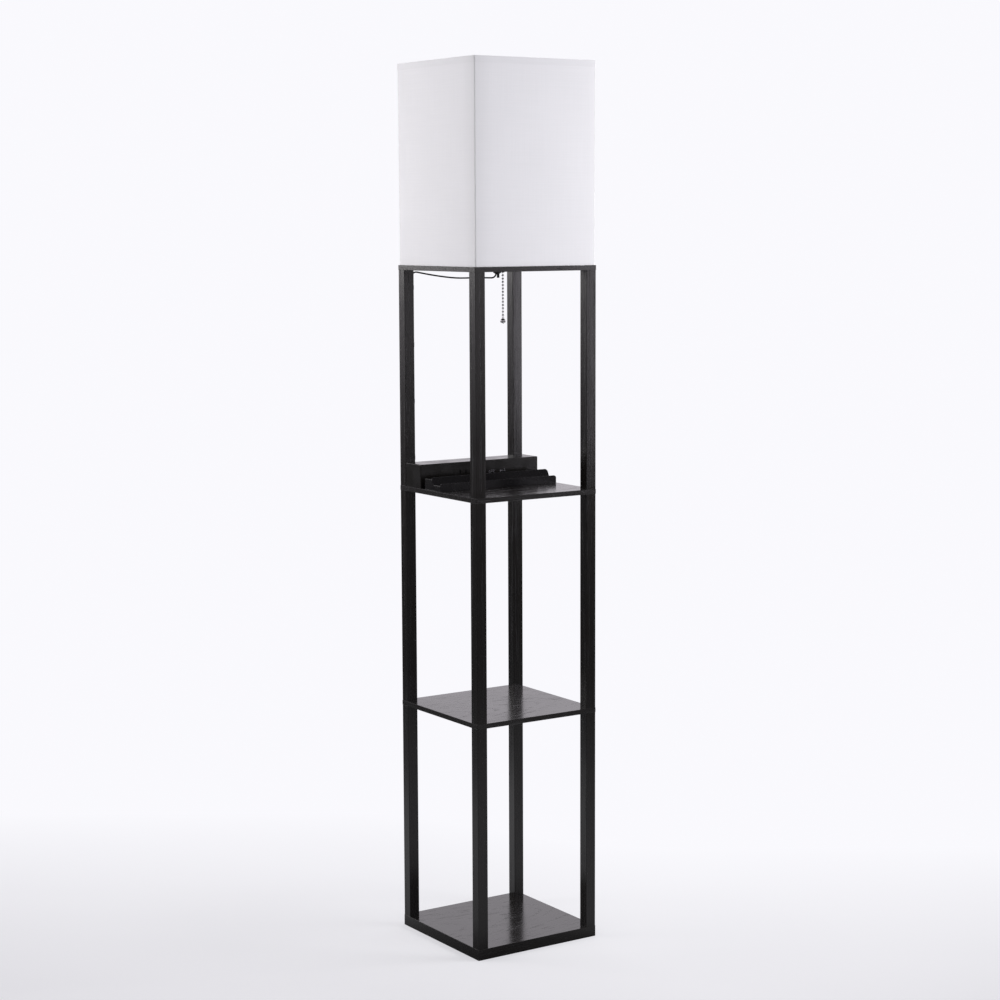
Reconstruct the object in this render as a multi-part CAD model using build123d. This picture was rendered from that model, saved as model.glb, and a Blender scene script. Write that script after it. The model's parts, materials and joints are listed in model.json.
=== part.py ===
from build123d import *
import os
from math import asin, atan2, cos, degrees, pi, radians, sin, sqrt, tan

# Shelf floor lamp. Millimetres, +Z up, origin on the floor under the middle of the base.
# The front of the lamp looks along -Y.

# Tower: four square boards and three storeys of square posts
board_side = 260.0
base_thickness = 20.0
shelf_thickness = 9.0
post_side = 20.3
post_inset = 0.5
lower_post_length = 406.0
middle_post_length = 397.0
upper_post_length = 397.0
board_corner_radius = 1.2
board_edge_break = 0.5
post_edge_radius = 0.8

# Fasteners of the tower
stud_diameter = 6.0
stud_engagement = 26.0
stud_end_gap = 3.0
insert_wall = 1.6
insert_length = 20.0
insert_play = 0.05
thread_play = 0.05
bolt_hole_play = 0.3
bolt_head_diameter = 10.0
bolt_head_height = 6.0
bolt_head_play = 0.5
bolt_head_recess = 1.0
hex_key_width = 5.0
hex_key_depth = 3.0
flat_head_diameter = 12.0
flat_head_height = 3.3

# Lampholder on the top board
nipple_offset = 2.0
nipple_diameter = 10.0
nipple_bore = 8.0
nipple_drop = 6.6
nipple_rise = 1.6
lock_nut_width = 14.0
lock_nut_height = 4.2
washer_diameter = 16.5
washer_thickness = 1.2
holder_diameter = 42.0
holder_height = 26.0
holder_wall = 2.0
holder_floor = 2.5
flange_thickness = 2.0
socket_diameter = 34.0
socket_height = 44.0
socket_wall = 1.2
liner_wall = 1.4
screw_shell_wall = 0.5
screw_shell_height = 24.0
contact_disc_height = 5.0
centre_contact_diameter = 7.0
centre_contact_height = 2.5
nested_play = 0.1
board_hole_play = 0.2
shade_ring_width = 4.0
shade_ring_height = 6.0
shade_ring_notches = 12
shade_ring_notch_depth = 1.0

# Bulb
bulb_cap_height = 24.0
bulb_tip_height = 3.0
bulb_diameter = 60.0
bulb_length = 108.0
bulb_neck_diameter = 28.0
bulb_neck_rise = 13.0

# Pull switch and its chain
chain_offset = 12.0
chain_pitch = 6.0
chain_swing = 25.0
swing_margin = 2.0
bead_diameter = 4.2
bead_wall = 0.45
chain_wire_diameter = 1.0
link_head_diameter = 2.8
outlet_beads = 5
hanging_beads = 13
end_ball_diameter = 10.0
end_ball_neck_diameter = 4.4
end_ball_neck_length = 2.9
outlet_diameter = 6.4
outlet_bore = 5.0
outlet_mouth_diameter = 7.6
outlet_mouth_height = 2.0
outlet_drop = 4.0
swivel_drop = 5.8
plunger_diameter = 3.0
plunger_play = 0.08
plunger_end_gap = 0.4
cartridge_depth = 16.0
cartridge_height = 13.0
cartridge_wall = 1.5
cartridge_side = 4.0

# Shade
shade_height = 363.0
shade_bottom_inset = 2.2
shade_top_inset = 1.1
shade_wall = 0.9
shade_corner_radius = 2.2
hem_height = 12.0
hem_thickness = 0.4
frame_wire_diameter = 3.2
arm_wire_diameter = 2.8
corner_wire_diameter = 2.4
frame_gap = 0.1
arm_level_length = 24.0
arm_bend_radius = 12.0
fitter_width = 4.0
fitter_thickness = 2.0
fitter_play = 0.3

# Charging box at the back of the upper shelf
box_side_inset = 0.3
box_depth = 51.3
box_height = 44.0
box_post_gap = 0.2
box_wall = 2.5
box_edge_radius = 1.5
box_plate_thickness = 3.0
box_plate_play = 0.2
panel_play = 0.1
mains_plate_width = 40.0
mains_plate_height = 30.0
mains_plate_radius = 4.0
mains_plate_proud = 0.6
mains_body_margin = 3.0
mains_body_depth = 22.0
mains_socket_x = -38.0
blade_slot_spacing = 12.7
blade_slot_width = 2.2
blade_slot_height = 8.0
earth_hole_diameter = 5.0
earth_hole_drop = 11.5
contact_depth = 17.0
usb_x = 38.0
usb_spacing = 24.0
usb_width = 13.1
usb_height = 5.7
usb_shell = 0.4
usb_depth = 14.0
usb_recess = 0.4
usb_tongue_width = 11.0
usb_tongue_thickness = 1.8
circuit_thickness = 1.6
circuit_length = 60.0
circuit_depth = 36.0
circuit_gap = 1.0
standoff_diameter = 6.0
standoff_margin = 5.0
bush_wall = 1.5
bush_flange_width = 1.5
bush_flange_thickness = 1.2
bush_play = 0.1
mains_bush_bore = 7.0
mains_bush_x = 82.0
mains_bush_height = 16.0
terminal_width = 12.0
terminal_length = 10.0
terminal_height = 14.0

# Screws that come up through the upper shelf into the charging box and the device dock
panel_screw_diameter = 3.5
panel_screw_head_diameter = 7.0
panel_screw_head_height = 2.2
panel_screw_bite = 8.0
panel_screw_end_gap = 2.0
boss_diameter = 8.0
box_screw_spacing_x = 188.0
box_screw_spacing_y = 26.0
dock_screw_spacing = 180.0

# Two-step device dock in front of the charging box
dock_length = 255.5
dock_offset = 1.2
dock_box_gap = 10.2
front_lip_height = 13.7
front_floor_height = 10.4
front_step_depth = 23.0
back_lip_height = 23.0
back_floor_height = 19.4
riser_lean = 27.0
back_step_depth = 20.0
dock_lip_thickness = 2.4
dock_lip_radius = 1.0
dock_end_radius = 5.0
dock_wall = 2.2
dock_ribs = 4
dock_rib_thickness = 2.0

# Lead from the lampholder to the charging box, with the clips and the grip that hold it
lead_diameter = 2.8
lead_play = 0.1
lead_bend_share = 0.45
lead_sharp_turn = 60.0
lead_tight_radius = 8.5
lead_nipple_offset = 2.3
lead_nipple_angle = 133.0
lead_box_entry = 12.0
lead_box_reach = 10.0
lead_slack = (14.2, 13.9, 15.1, 10.1, 2.2)
clip_count = 4
clip_top_drop = 32.0
clip_bottom_rise = 51.0
clip_width = 7.5
clip_height = 8.0
clip_wall = 1.3
clip_back = 0.3
grip_diameter = 4.8
grip_play = 0.05
grip_drop = 14.0
grip_length = 18.0

# Levels, lines and diameters that follow from the sizes above
lower_shelf_bottom = base_thickness + lower_post_length
lower_shelf_top = lower_shelf_bottom + shelf_thickness
upper_shelf_bottom = lower_shelf_top + middle_post_length
upper_shelf_top = upper_shelf_bottom + shelf_thickness
top_board_bottom = upper_shelf_top + upper_post_length
top_board_top = top_board_bottom + shelf_thickness
shade_top = top_board_top + shade_height
post_centre = board_side / 2 - post_inset - post_side / 2
post_inner = post_centre - post_side / 2
bolt_hole = stud_diameter + 2 * bolt_hole_play
insert_bore = stud_diameter + 2 * thread_play
insert_diameter = insert_bore + 2 * insert_wall
insert_hole = insert_diameter + 2 * insert_play

nut_bore = nipple_diameter + 2 * thread_play
holder_bore = holder_diameter - 2 * holder_wall
holder_floor_top = top_board_top + holder_floor
holder_top = top_board_top + holder_height
socket_bottom = holder_top + flange_thickness
liner_diameter = socket_diameter - 2 * (socket_wall + nested_play)
screw_shell_diameter = liner_diameter - 2 * (liner_wall + nested_play)
bulb_cap_diameter = screw_shell_diameter - 2 * (screw_shell_wall + nested_play)
contact_top = socket_bottom + contact_disc_height
bulb_bottom = contact_top + centre_contact_height

chain_x = nipple_offset + chain_offset
swivel_z = top_board_bottom - outlet_drop - swivel_drop
top_bead_z = swivel_z + (outlet_beads - 1) * chain_pitch
plunger_bottom = top_bead_z + chain_pitch / 2
last_bead_z = swivel_z - (hanging_beads - 1) * chain_pitch
end_ball_top = last_bead_z - chain_pitch / 2
end_ball_z = end_ball_top - end_ball_neck_length - end_ball_diameter / 2
cartridge_bottom = holder_top - cartridge_height
cartridge_bore_top = holder_top - cartridge_wall

box_half = board_side / 2 - box_side_inset
box_back = post_inner - box_post_gap
box_front = box_back - box_depth
box_middle = (box_front + box_back) / 2
box_centre_z = upper_shelf_top + box_height / 2
box_plate_top = upper_shelf_top + box_plate_thickness
circuit_bottom = box_centre_z - usb_height / 2 - circuit_thickness
circuit_front = box_front + box_wall + circuit_gap
usb_places = (usb_x - usb_spacing / 2, usb_x + usb_spacing / 2)

riser_top_y = front_step_depth + (back_lip_height - front_floor_height) * tan(radians(riser_lean))
dock_depth = riser_top_y + dock_lip_thickness + back_step_depth
dock_back = box_front - dock_box_gap
dock_front = dock_back - dock_depth
dock_screw_y = dock_back - dock_wall - back_step_depth / 2

# The lead's route: out of the nipple, slack under the top board, down the post, into the box
lead_angle = radians(lead_nipple_angle)
lead_x = nipple_offset + lead_nipple_offset * cos(lead_angle)
lead_y = lead_nipple_offset * sin(lead_angle)
lead_post_x = -post_inner + lead_diameter / 2 + clip_back
lead_levels = [top_board_bottom - drop for drop in lead_slack]
lead_entry = upper_shelf_top + lead_box_entry
lead_route = [
    (lead_x, lead_y, cartridge_bottom),
    (lead_x, lead_y, lead_levels[0]),
    (-25.8, 28.4, lead_levels[1]),
    (-50.6, 56.8, lead_levels[2]),
    (-79.6, 86.4, lead_levels[3]),
    (lead_post_x, post_centre, lead_levels[4]),
    (lead_post_x, post_centre, lead_entry),
    (lead_post_x, box_back - lead_box_reach, lead_entry),
]
lead_end = lead_route[-1]

# Each bush in the box's back wall: its x, its level and its bore
lead_bush_place = (lead_end[0], lead_end[2], lead_diameter + 2 * lead_play)
mains_bush_place = (mains_bush_x, upper_shelf_top + mains_bush_height, mains_bush_bore)

corners = [
    ("front_left", -post_centre, -post_centre),
    ("front_right", post_centre, -post_centre),
    ("back_left", -post_centre, post_centre),
    ("back_right", post_centre, post_centre),
]
post_places = [(x, y) for _, x, y in corners]
storeys = [
    ("lower", base_thickness, lower_post_length),
    ("middle", lower_shelf_top, middle_post_length),
    ("upper", upper_shelf_top, upper_post_length),
]
box_screw_places = [
    (x * box_screw_spacing_x / 2, box_middle + y * box_screw_spacing_y / 2)
    for x in (-1, 1)
    for y in (-1, 1)
]
dock_screw_places = [(dock_offset + x * dock_screw_spacing / 2, dock_screw_y) for x in (-1, 1)]

STANDING = (Align.CENTER, Align.CENTER, Align.MIN)


def disc(diameter, height, x=0.0, y=0.0, z=0.0):
    """Upright cylinder whose lower face is at z."""
    return Pos(x, y, z) * Cylinder(diameter / 2, height, align=STANDING)


def tube(outer, bore, height, x=0.0, y=0.0, z=0.0):
    """Upright tube whose lower face is at z."""
    return disc(outer, height, x, y, z) - disc(bore, height, x, y, z)


def block(low, high):
    """Box between its lowest and its highest corner."""
    size = [b - a for a, b in zip(low, high)]
    return Pos(*low) * Box(*size, align=(Align.MIN, Align.MIN, Align.MIN))


def centred_block(width, height, x, z, front, back):
    """Box seen from the front as width x height about (x, z), from y = front to y = back."""
    low = (x - width / 2, front, z - height / 2)
    return block(low, (x + width / 2, back, z + height / 2))


def level_disc(diameter, x, z, front, back):
    """Cylinder along Y from front to back."""
    middle = (front + back) / 2
    return Pos(x, middle, z) * Rot(90, 0, 0) * Cylinder(diameter / 2, back - front)


def facing_front(x, y, z):
    """Upright plane at y that looks towards the front."""
    return Plane(origin=(x, y, z), x_dir=(1, 0, 0), z_dir=(0, -1, 0))


def hexagon(width):
    """Hexagon by its width across flats."""
    return RegularPolygon(width / 2, 6, major_radius=False)


def wire_along(path, diameter):
    """Round wire swept along a path."""
    return sweep(Plane(origin=path @ 0, z_dir=path % 0) * Circle(diameter / 2), path=path)


def group(solids):
    """Separate solids that share one node."""
    return Compound(children=list(solids))


# ---- Tower ----


def board(bottom, thickness):
    """Square board with rounded corners and broken edges."""
    plate = extrude(RectangleRounded(board_side, board_side, board_corner_radius), thickness)
    faces = plate.faces().sort_by(Axis.Z)
    rims = faces[0].edges() + faces[-1].edges()
    return Pos(0, 0, bottom) * chamfer(rims, board_edge_break)


def base_board():
    plate = board(0, base_thickness)
    recess = bolt_head_height + bolt_head_recess
    recess_diameter = bolt_head_diameter + 2 * bolt_head_play
    for x, y in post_places:
        plate -= disc(bolt_hole, base_thickness, x, y)
        plate -= disc(recess_diameter, recess, x, y)
    return plate


def open_shelf(bottom):
    """Shelf between two storeys, drilled for the studs."""
    plate = board(bottom, shelf_thickness)
    for x, y in post_places:
        plate -= disc(bolt_hole, shelf_thickness, x, y, bottom)
    return plate


def upper_shelf():
    plate = open_shelf(upper_shelf_bottom)
    hole = panel_screw_diameter + 2 * bolt_hole_play
    for x, y in box_screw_places + dock_screw_places:
        plate -= disc(hole, shelf_thickness, x, y, upper_shelf_bottom)
    return plate


def top_board():
    plate = board(top_board_bottom, shelf_thickness)
    for x, y in post_places:
        plate -= disc(bolt_hole, shelf_thickness, x, y, top_board_bottom)
        plate -= flat_head(x, y, bolt_hole_play)
    nipple_hole = nipple_diameter + 2 * board_hole_play
    outlet_hole = outlet_diameter + 2 * board_hole_play
    plate -= disc(nipple_hole, shelf_thickness, nipple_offset, 0, top_board_bottom)
    plate -= disc(outlet_hole, shelf_thickness, chain_x, 0, top_board_bottom)
    return plate


def post(x, y, bottom, length):
    """Square post with a blind hole in each end for an insert and the end of a stud."""
    square = RectangleRounded(post_side, post_side, post_edge_radius)
    bar = Pos(x, y, bottom) * extrude(square, length)
    top = bottom + length
    pilot = stud_engagement + stud_end_gap
    for insert_z, pilot_z in ((bottom, bottom), (top - insert_length, top - pilot)):
        bar -= disc(insert_hole, insert_length, x, y, insert_z)
        bar -= disc(bolt_hole, pilot, x, y, pilot_z)
    return bar


def post_inserts():
    """Threaded inserts, flush with both ends of every post."""
    levels = []
    for _, bottom, length in storeys:
        levels += [bottom, bottom + length - insert_length]
    size = (insert_diameter, insert_bore, insert_length)
    return group(tube(*size, x, y, z) for x, y in post_places for z in levels)


def base_bolts():
    """Hexagon-socket bolts that rise through the base into the lower posts."""
    seat = bolt_head_recess + bolt_head_height
    bolt = disc(bolt_head_diameter, bolt_head_height, z=bolt_head_recess)
    bolt += disc(stud_diameter, base_thickness + stud_engagement - seat, z=seat)
    bolt -= Pos(0, 0, bolt_head_recess) * extrude(hexagon(hex_key_width), hex_key_depth)
    return group(Pos(x, y, 0) * bolt for x, y in post_places)


def shelf_studs():
    """Headless studs that join the posts above and below each shelf."""
    length = shelf_thickness + 2 * stud_engagement
    levels = (lower_shelf_bottom - stud_engagement, upper_shelf_bottom - stud_engagement)
    return group(disc(stud_diameter, length, x, y, z) for x, y in post_places for z in levels)


def flat_head(x, y, play=0.0):
    """Countersunk head, flush with the top board."""
    narrow = stud_diameter / 2 + play
    wide = flat_head_diameter / 2 + play
    cone = Cone(narrow, wide, flat_head_height, align=STANDING)
    return Pos(x, y, top_board_top - flat_head_height) * cone


def top_screws():
    """Countersunk screws that go down through the top board into the upper posts."""
    start = top_board_bottom - stud_engagement
    reach = top_board_top - flat_head_height - start
    key = extrude(hexagon(hex_key_width), hex_key_depth)
    screw = disc(stud_diameter, reach, z=start) + flat_head(0, 0)
    screw -= Pos(0, 0, top_board_top - hex_key_depth) * key
    return group(Pos(x, y, 0) * screw for x, y in post_places)


# ---- Lampholder and bulb ----


def threaded_nipple():
    """Hollow pipe through the top board that holds the lampholder down."""
    bottom = top_board_bottom - nipple_drop
    top = holder_floor_top + lock_nut_height + nipple_rise
    return tube(nipple_diameter, nipple_bore, top - bottom, nipple_offset, 0, bottom)


def lower_washer():
    bottom = top_board_bottom - washer_thickness
    return tube(washer_diameter, nut_bore, washer_thickness, nipple_offset, 0, bottom)


def lock_nuts():
    """Hexagon nuts on the nipple, one under the top board and one inside the cup."""
    nut = extrude(hexagon(lock_nut_width), lock_nut_height) - disc(nut_bore, lock_nut_height)
    under_board = top_board_bottom - washer_thickness - lock_nut_height
    return group(Pos(nipple_offset, 0, z) * nut for z in (under_board, holder_floor_top))


def holder_base():
    """Round cup that stands on the top board and houses the pull switch."""
    cup = disc(holder_diameter, holder_height)
    cup -= disc(holder_bore, holder_height, z=holder_floor)
    cup -= disc(nut_bore, holder_floor)
    cup -= disc(outlet_diameter + 2 * board_hole_play, holder_floor, chain_offset)
    return Pos(nipple_offset, 0, top_board_top) * cup


def socket_shell():
    """Flanged metal tube that closes the cup and carries the shade and the bulb."""
    shell = disc(holder_diameter, flange_thickness, z=holder_top)
    bore = socket_diameter - 2 * socket_wall
    shell += tube(socket_diameter, bore, socket_height, z=socket_bottom)
    return Pos(nipple_offset, 0, 0) * shell


def socket_liner():
    """Insulating sleeve between the shell and the screw shell."""
    bore = liner_diameter - 2 * liner_wall
    height = socket_height - contact_disc_height
    return tube(liner_diameter, bore, height, nipple_offset, 0, contact_top)


def screw_shell():
    """Brass shell that takes the bulb's cap."""
    bore = screw_shell_diameter - 2 * screw_shell_wall
    return tube(screw_shell_diameter, bore, screw_shell_height, nipple_offset, 0, contact_top)


def contact_disc():
    return disc(liner_diameter, contact_disc_height, nipple_offset, 0, socket_bottom)


def centre_contact():
    return disc(centre_contact_diameter, centre_contact_height, nipple_offset, 0, contact_top)


def shade_ring():
    """Ring nut with a notched grip that clamps the shade's fitter on the socket shell."""
    bore = socket_diameter + 2 * thread_play
    outer = bore + 2 * shade_ring_width
    ring = tube(outer, bore, shade_ring_height)
    notch = Cylinder(2 * shade_ring_notch_depth, shade_ring_height, align=STANDING)
    ring -= PolarLocations(outer / 2 + shade_ring_notch_depth, shade_ring_notches) * notch
    return Pos(nipple_offset, 0, socket_bottom + fitter_thickness) * ring


def bulb_cap():
    """Screw cap whose tip stands on the centre contact."""
    radius = bulb_cap_diameter / 2
    tip = Cone(centre_contact_diameter / 2, radius, bulb_tip_height, align=STANDING)
    body = disc(bulb_cap_diameter, bulb_cap_height - bulb_tip_height, z=bulb_tip_height)
    return Pos(nipple_offset, 0, bulb_bottom) * (tip + body)


def bulb_globe():
    """Pear-shaped globe: a widening neck that runs tangent into a ball."""
    neck_radius = bulb_neck_diameter / 2
    ball_radius = bulb_diameter / 2
    centre = bulb_length - ball_radius
    neck_top = bulb_cap_height + bulb_neck_rise
    distance = sqrt(neck_radius**2 + (centre - neck_top) ** 2)
    # Angle from straight down, about the ball's centre, of the neck's tangent point
    turn = atan2(neck_radius, centre - neck_top) + radians(90) - asin(ball_radius / distance)
    touch = (ball_radius * sin(turn), centre - ball_radius * cos(turn))
    bulge = (ball_radius * sin((turn + pi) / 2), centre - ball_radius * cos((turn + pi) / 2))
    foot = (bulb_cap_diameter / 2, bulb_cap_height)
    outline = Polyline((0, bulb_length), (0, bulb_cap_height), foot, (neck_radius, neck_top), touch)
    outline += ThreePointArc(touch, bulge, (0, bulb_length))
    globe = revolve(make_face(Plane.XZ * outline), Axis.Z)
    return Pos(nipple_offset, 0, bulb_bottom) * globe


# ---- Pull switch and chain ----


def chain_outlet():
    """Metal tube through the top board, flared at its lower mouth."""
    bottom = top_board_bottom - outlet_drop
    wide = outlet_mouth_diameter / 2
    narrow = outlet_diameter / 2
    height = holder_floor_top - bottom
    body = Pos(chain_x, 0, bottom) * Cone(wide, narrow, outlet_mouth_height, align=STANDING)
    body += disc(outlet_diameter, height, chain_x, 0, bottom)
    return body - disc(outlet_bore, height, chain_x, 0, bottom)


def switch_cartridge():
    """Sealed switch under the socket's flange, with a bore for the plunger."""
    left = nipple_offset - chain_offset
    right = chain_x + cartridge_side
    low = (left, -cartridge_depth / 2, cartridge_bottom)
    body = block(low, (right, cartridge_depth / 2, holder_top))
    bore = plunger_diameter + 2 * plunger_play
    return body - disc(bore, cartridge_bore_top - cartridge_bottom, chain_x, 0, cartridge_bottom)


def switch_plunger():
    """Rod that the chain draws down out of the switch."""
    height = cartridge_bore_top - plunger_end_gap - plunger_bottom
    return disc(plunger_diameter, height, chain_x, 0, plunger_bottom)


def bead(z):
    return Pos(chain_x, 0, z) * Sphere(bead_diameter / 2)


def swivel_bead(z, opening):
    """Hollow bead with a flared mouth, up (+1) or down (-1), for the head of a link."""
    inner = bead_diameter / 2 - bead_wall
    wire_angle = degrees(asin(chain_wire_diameter / 2 / inner))
    mouth_angle = radians(chain_swing + swing_margin + wire_angle)
    reach = bead_diameter
    cone = Cone(0, reach * tan(mouth_angle), reach, align=STANDING)
    if opening < 0:
        cone = Rot(180, 0, 0) * cone
    shell = Sphere(bead_diameter / 2) - Sphere(inner) - cone
    return Pos(chain_x, 0, z) * shell


def chain_wire(bottom, top):
    return disc(chain_wire_diameter, top - bottom, chain_x, 0, bottom)


def outlet_chain():
    """Beads between the plunger and the swivel just below the outlet."""
    chain = swivel_bead(swivel_z, -1)
    touch = bead_diameter / 2 - bead_wall / 2
    for index in range(1, outlet_beads):
        z = swivel_z + index * chain_pitch
        chain += bead(z) + chain_wire(z - chain_pitch + touch, z)
    return chain + chain_wire(top_bead_z, plunger_bottom)


def chain_link():
    """Link with a round head in each of the two swivel beads."""
    lower = swivel_z - chain_pitch
    link = chain_wire(lower, swivel_z)
    for z in (lower, swivel_z):
        link += Pos(chain_x, 0, z) * Sphere(link_head_diameter / 2)
    return link


def hanging_chain():
    """Beads that hang below the link."""
    top = swivel_z - chain_pitch
    chain = swivel_bead(top, 1)
    touch = bead_diameter / 2 - bead_wall / 2
    for index in range(2, hanging_beads):
        z = swivel_z - index * chain_pitch
        chain += bead(z) + chain_wire(z, z + chain_pitch - touch)
    return chain + chain_wire(end_ball_top, last_bead_z)


def chain_end_ball():
    """Round pull with a neck."""
    ball = Pos(chain_x, 0, end_ball_z) * Sphere(end_ball_diameter / 2)
    neck = disc(end_ball_neck_diameter, end_ball_top - end_ball_z, chain_x, 0, end_ball_z)
    return ball + neck


# ---- Shade ----


def shade_side(z, outset=0.0):
    """Side of the shade's square at level z; it widens a little towards the top."""
    share = (z - top_board_top) / shade_height
    inset = shade_bottom_inset + (shade_top_inset - shade_bottom_inset) * share
    return board_side - 2 * inset + 2 * outset


def shade_block(bottom, top, outset):
    """Solid stretch of the shade's form, outset from the cover's outer face."""
    corner = shade_corner_radius + outset
    squares = [
        Pos(0, 0, z) * RectangleRounded(shade_side(z, outset), shade_side(z, outset), corner)
        for z in (bottom, top)
    ]
    return loft(squares)


def shade_cover():
    """Stiff fabric-faced cover, open above and below."""
    outer = shade_block(top_board_top, shade_top, 0)
    return outer - shade_block(top_board_top, shade_top, -shade_wall)


def shade_hem(bottom):
    """Band of the same cloth round an edge of the cover."""
    top = bottom + hem_height
    return shade_block(bottom, top, hem_thickness) - shade_block(bottom, top, 0)


def ring_half(z):
    """Half the side of the square wire ring at level z, to the wire's centre."""
    return shade_side(z, -shade_wall) / 2 - frame_gap - frame_wire_diameter / 2


def wire_ring(z):
    """Square ring of wire just inside the cover."""
    half = ring_half(z)
    points = [(half, -half, z), (half, half, z), (-half, half, z), (-half, -half, z)]
    path = FilletPolyline(*points, radius=frame_wire_diameter, close=True)
    return wire_along(Wire(path.edges()), frame_wire_diameter)


ring_bottom_z = top_board_top + frame_gap + frame_wire_diameter / 2
ring_top_z = shade_top - frame_gap - frame_wire_diameter / 2
fitter_bore = socket_diameter + 2 * fitter_play
fitter_diameter = fitter_bore + 2 * fitter_width


def spider_arm(x, y):
    """Wire from the point (x, y) of the ring up to the underside of the fitter."""
    reach = sqrt((x - nipple_offset) ** 2 + y**2)
    inner = (fitter_bore + fitter_width) / 2
    points = [
        (reach, 0, ring_bottom_z),
        (reach - arm_level_length, 0, ring_bottom_z),
        (inner, 0, socket_bottom + fitter_thickness / 2),
    ]
    path = FilletPolyline(*points, radius=arm_bend_radius)
    arm = wire_along(Wire(path.edges()), arm_wire_diameter)
    heading = degrees(atan2(y, x - nipple_offset))
    return Pos(nipple_offset, 0, 0) * Rot(0, 0, heading) * arm


def shade_bottom_frame():
    """Bottom ring, four arms and the flat fitter that sits on the socket's flange."""
    half = ring_half(ring_bottom_z)
    frame = wire_ring(ring_bottom_z)
    for x, y in ((half, 0), (0, half), (-half, 0), (0, -half)):
        frame += spider_arm(x, y)
    # The arms end flat on the fitter's level and clear of the socket
    frame -= disc(fitter_bore, holder_height, nipple_offset, 0, holder_top)
    frame += tube(fitter_diameter, fitter_bore, fitter_thickness, nipple_offset, 0, socket_bottom)
    over = disc(fitter_diameter, fitter_thickness, nipple_offset, 0, socket_bottom + fitter_thickness)
    under = disc(fitter_diameter, flange_thickness, nipple_offset, 0, holder_top)
    return frame - over - under


def shade_corner_wires():
    """Uprights between the two rings, one in each corner."""
    arc_inset = frame_wire_diameter * (1 - sqrt(0.5))
    low = ring_half(ring_bottom_z) - arc_inset
    high = ring_half(ring_top_z) - arc_inset
    start_z = ring_bottom_z + frame_wire_diameter / 2
    end_z = ring_top_z - frame_wire_diameter / 2
    wires = []
    for x in (-1, 1):
        for y in (-1, 1):
            line = Edge.make_line((x * low, y * low, start_z), (x * high, y * high, end_z))
            wires.append(wire_along(line, corner_wire_diameter))
    return group(wires)


# ---- Charging box ----


def box_housing():
    """Cover of the charging box, open below, with its panel openings and screw bosses."""
    low = (-box_half, box_front, upper_shelf_top)
    high = (box_half, box_back, upper_shelf_top + box_height)
    cover = block(low, high)
    base = cover.faces().sort_by(Axis.Z)[0].edges()
    cover = fillet([edge for edge in cover.edges() if edge not in base], box_edge_radius)
    ceiling = high[2] - box_wall
    inner_low = (box_wall - box_half, box_front + box_wall, upper_shelf_top)
    cover -= block(inner_low, (box_half - box_wall, box_back - box_wall, ceiling))
    for x, y in box_screw_places:
        cover += disc(boss_diameter, ceiling - box_plate_top, x, y, box_plate_top)
        bite = panel_screw_bite + panel_screw_end_gap
        cover -= disc(panel_screw_diameter + 2 * thread_play, bite, x, y, box_plate_top)
    inside = box_front + box_wall
    plate_hole = (mains_plate_width + 2 * panel_play, mains_plate_height + 2 * panel_play)
    cover -= mains_plate_form(*plate_hole, box_front, inside)
    usb_hole = (usb_width + 2 * panel_play, usb_height + 2 * panel_play)
    for x in usb_places:
        cover -= centred_block(*usb_hole, x, box_centre_z, box_front, inside)
    for x, z, bore in (lead_bush_place, mains_bush_place):
        cover -= level_disc(bore + 2 * (bush_wall + bush_play), x, z, box_back - box_wall, box_back)
    return cover


def mains_plate_form(width, height, front, back):
    """Rounded plate of the mains socket, upright, from y = front to y = back."""
    outline = RectangleRounded(width, height, mains_plate_radius)
    return extrude(facing_front(mains_socket_x, back, box_centre_z) * outline, back - front)


def box_plate():
    """Floor of the charging box, with standoffs for the circuit board."""
    margin = box_wall + box_plate_play
    low = (margin - box_half, box_front + margin, upper_shelf_top)
    plate = block(low, (box_half - margin, box_back - margin, box_plate_top))
    hole = panel_screw_diameter + 2 * bolt_hole_play
    for x, y in box_screw_places:
        plate -= disc(hole, box_plate_thickness, x, y, upper_shelf_top)
    height = circuit_bottom - box_plate_top
    for x, y in standoff_places():
        plate += disc(standoff_diameter, height, x, y, box_plate_top)
    return plate


def standoff_places():
    half = circuit_length / 2 - standoff_margin
    front = circuit_front + standoff_margin
    back = circuit_front + circuit_depth - standoff_margin
    return [(usb_x + x, y) for x in (-half, half) for y in (front, back)]


def circuit_board():
    half = circuit_length / 2
    low = (usb_x - half, circuit_front, circuit_bottom)
    back = circuit_front + circuit_depth
    return block(low, (usb_x + half, back, circuit_bottom + circuit_thickness))


def usb_sockets():
    """Two sockets on the circuit board, each a folded shell round a tongue."""
    front = box_front + usb_recess
    back = front + usb_depth
    sockets = []
    for x in usb_places:
        shell = centred_block(usb_width, usb_height, x, box_centre_z, front, back)
        bore = (usb_width - 2 * usb_shell, usb_height - 2 * usb_shell)
        shell -= centred_block(*bore, x, box_centre_z, front, back - usb_shell)
        tongue = (usb_tongue_width, usb_tongue_thickness)
        shell += centred_block(*tongue, x, box_centre_z, front + usb_recess, back)
        sockets.append(shell)
    return group(sockets)


def mains_socket():
    """Mains outlet: a rounded plate in the front wall and the body behind it."""
    front = box_front - mains_plate_proud
    inside = box_front + box_wall
    body = mains_plate_form(mains_plate_width, mains_plate_height, front, inside)
    width = mains_plate_width - 2 * mains_body_margin
    height = mains_plate_height - 2 * mains_body_margin
    end = front + mains_body_depth
    body += centred_block(width, height, mains_socket_x, box_centre_z, inside, end)
    back = front + contact_depth
    for side in (-1, 1):
        x = mains_socket_x + side * blade_slot_spacing / 2
        slot_z = box_centre_z + blade_slot_height / 2
        body -= centred_block(blade_slot_width, blade_slot_height, x, slot_z, front, back)
    earth_z = box_centre_z + blade_slot_height / 2 - earth_hole_drop
    return body - level_disc(earth_hole_diameter, mains_socket_x, earth_z, front, back)


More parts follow.
